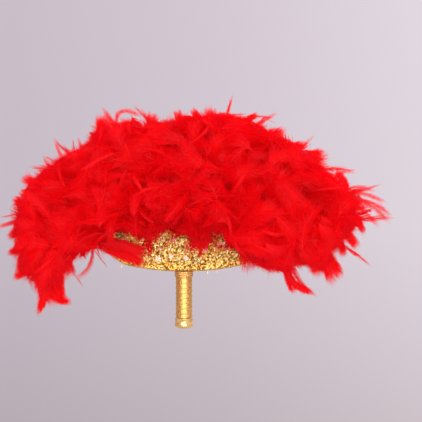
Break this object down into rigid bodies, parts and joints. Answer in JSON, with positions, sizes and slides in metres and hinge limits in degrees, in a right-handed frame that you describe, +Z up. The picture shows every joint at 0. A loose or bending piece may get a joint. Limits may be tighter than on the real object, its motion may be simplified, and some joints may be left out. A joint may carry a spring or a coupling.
{
  "type": "feather hand fan",
  "caption": "Rigid rounded hand fan in gold sequin lace with a braided edge and bead clusters, dressed with bunches of red feathers on a short ribbon-wound handle.",
  "frame": {"origin": "middle of the grip, on the handle's axis", "axes": "+Z up the handle and through the fan, +X to the right as the front is seen, +Y away from the viewer, so the front faces -Y"},
  "size_m": [0.5153, 0.1875, 0.3065],
  "materials": {
    "board": "matte",
    "lace": "gold sequin lace",
    "lining": "gold satin",
    "braid": "gold braid",
    "dowel": "plain",
    "ribbon": "gold satin ribbon",
    "end_cap": "gold plated",
    "beads": "clear, faceted",
    "feathers": "dyed feather"
  },
  "bodies": {
    "root": {"core_board": "board", "front_lace_cover": "lace", "back_lining": "lining", "lower_edge_braid": "braid", "handle_core": "dowel", "grip_ribbon_wrap": "ribbon", "handle_collar": "braid", "handle_end_cap": "end_cap", "bead_cluster_1": "beads", "bead_cluster_2": "beads", "bead_cluster_3": "beads", "bead_cluster_4": "beads", "bead_cluster_5": "beads", "bead_cluster_6": "beads", "bead_cluster_7": "beads", "bead_cluster_8": "beads", "front_rim_bunch_1": "feathers", "front_rim_bunch_2": "feathers", "front_rim_bunch_3": "feathers", "front_rim_bunch_4": "feathers", "front_rim_bunch_5": "feathers", "front_rim_bunch_6": "feathers", "front_middle_bunch_1": "feathers", "front_middle_bunch_2": "feathers", "front_middle_bunch_3": "feathers", "front_middle_bunch_4": "feathers", "front_middle_bunch_5": "feathers", "front_middle_bunch_6": "feathers", "front_inner_bunch_1": "feathers", "front_inner_bunch_2": "feathers", "front_inner_bunch_3": "feathers", "front_inner_bunch_4": "feathers", "front_inner_bunch_5": "feathers", "front_inner_bunch_6": "feathers", "front_crown_bunch_1": "feathers", "back_rim_bunch_1": "feathers", "back_rim_bunch_2": "feathers", "back_rim_bunch_3": "feathers", "back_rim_bunch_4": "feathers", "back_rim_bunch_5": "feathers", "back_rim_bunch_6": "feathers", "back_inner_bunch_1": "feathers", "back_inner_bunch_2": "feathers", "back_inner_bunch_3": "feathers", "back_inner_bunch_4": "feathers", "back_inner_bunch_5": "feathers", "edge_plume_1": "feathers", "edge_plume_2": "feathers", "edge_plume_3": "feathers", "edge_plume_4": "feathers", "edge_plume_5": "feathers", "edge_plume_6": "feathers", "edge_plume_7": "feathers", "edge_plume_8": "feathers", "edge_plume_9": "feathers", "edge_plume_10": "feathers", "edge_plume_11": "feathers", "edge_plume_12": "feathers", "edge_plume_13": "feathers", "edge_plume_14": "feathers"}
  },
  "joints": []
}
